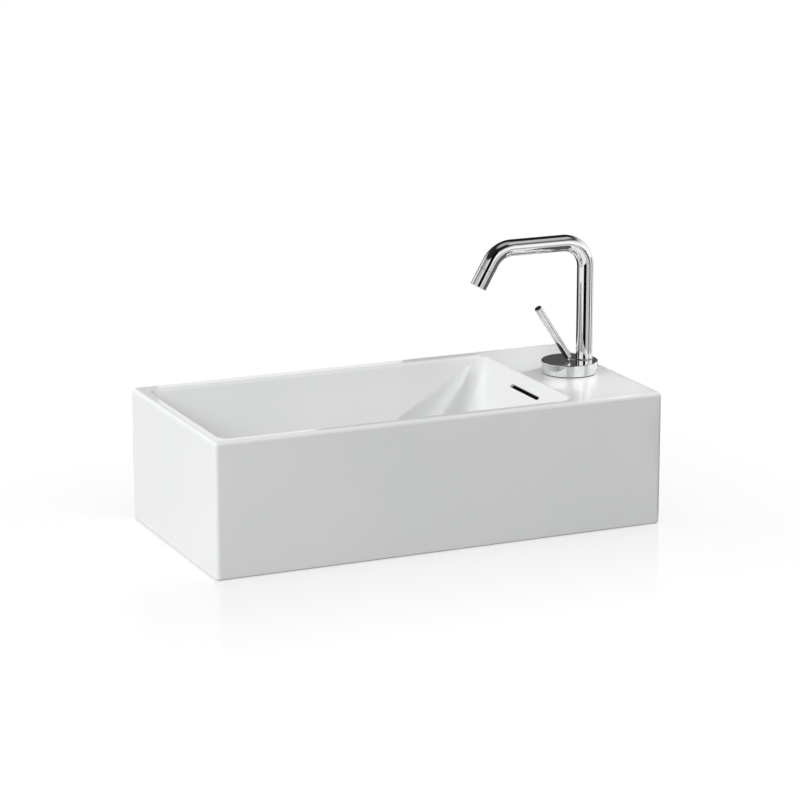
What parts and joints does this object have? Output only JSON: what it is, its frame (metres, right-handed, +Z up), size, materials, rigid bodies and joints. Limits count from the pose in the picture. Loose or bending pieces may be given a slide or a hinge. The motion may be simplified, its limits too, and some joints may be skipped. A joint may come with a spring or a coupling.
{
  "type": "wall hung basin",
  "caption": "Rectangular wall hung hand basin with a folded sloping bowl, an overflow slot, and a side deck that carries a swivel spout mixer tap with a stick lever.",
  "frame": {"origin": "half way between the two wall fixing holes, on the back face", "axes": "+X to the right seen from the front, towards the tap deck; +Y into the wall; +Z up"},
  "size_m": [0.51, 0.25, 0.2982],
  "materials": {
    "glaze": "white glaze, glossy",
    "chrome": "polished chrome plate on brass",
    "black_rubber": "black rubber",
    "white_plastic": "white acetal",
    "grey_plastic": "grey moulded plastic",
    "dark_plastic": "dark end plug",
    "brass": "turned brass",
    "steel": "stainless steel",
    "disc_ceramic": "ground alumina"
  },
  "bodies": {
    "basin": {"basin": "glaze", "tap_base": "chrome", "base_gasket": "black_rubber", "swivel_washer": "white_plastic", "spout_screw": "steel", "ball_seat": "white_plastic", "cartridge_body": "grey_plastic", "cartridge_disc_lower": "disc_ceramic", "cartridge_seals": "black_rubber", "shank_plug": "brass", "deck_gasket": "black_rubber", "deck_washer": "steel", "deck_nut": "brass", "waste_body": "chrome", "waste_gasket": "black_rubber", "waste_seal": "black_rubber", "waste_washer": "grey_plastic", "waste_nut": "brass", "click_housing": "grey_plastic", "click_spring": "steel"},
    "spout": {"spout_tube": "chrome", "spout_plug": "brass", "spout_o_rings": "black_rubber", "aerator_sleeve": "chrome", "aerator_core": "white_plastic", "aerator_washer": "black_rubber"},
    "driver": {"lever_driver": "white_plastic", "cartridge_disc_upper": "disc_ceramic"},
    "lever": {"lever_stick": "chrome", "lever_end": "dark_plastic", "lever_ball": "steel"},
    "plug": {"plug_cap": "chrome", "plug_seal": "black_rubber", "plug_spindle": "brass"}
  },
  "joints": [
    {"name": "spout_swivel", "type": "hinge", "parent": "basin", "child": "spout", "pos_m": [0.2247, -0.126, 0.0755], "axis": [0, 0, 1], "range_deg": [-60, 60]},
    {"name": "lever_turn", "type": "hinge", "parent": "basin", "child": "driver", "pos_m": [0.209, -0.126, 0.055], "axis": [0, 0, 1], "range_deg": [-40, 40]},
    {"name": "lever_lift", "type": "hinge", "parent": "driver", "child": "lever", "pos_m": [0.209, -0.126, 0.061], "axis": [0, 1, 0], "range_deg": [0, 22]},
    {"name": "plug_click", "type": "slide", "parent": "basin", "child": "plug", "axis": [0, 0, 1], "range_m": [0, 0.008], "deforming": ["click_spring"]}
  ]
}
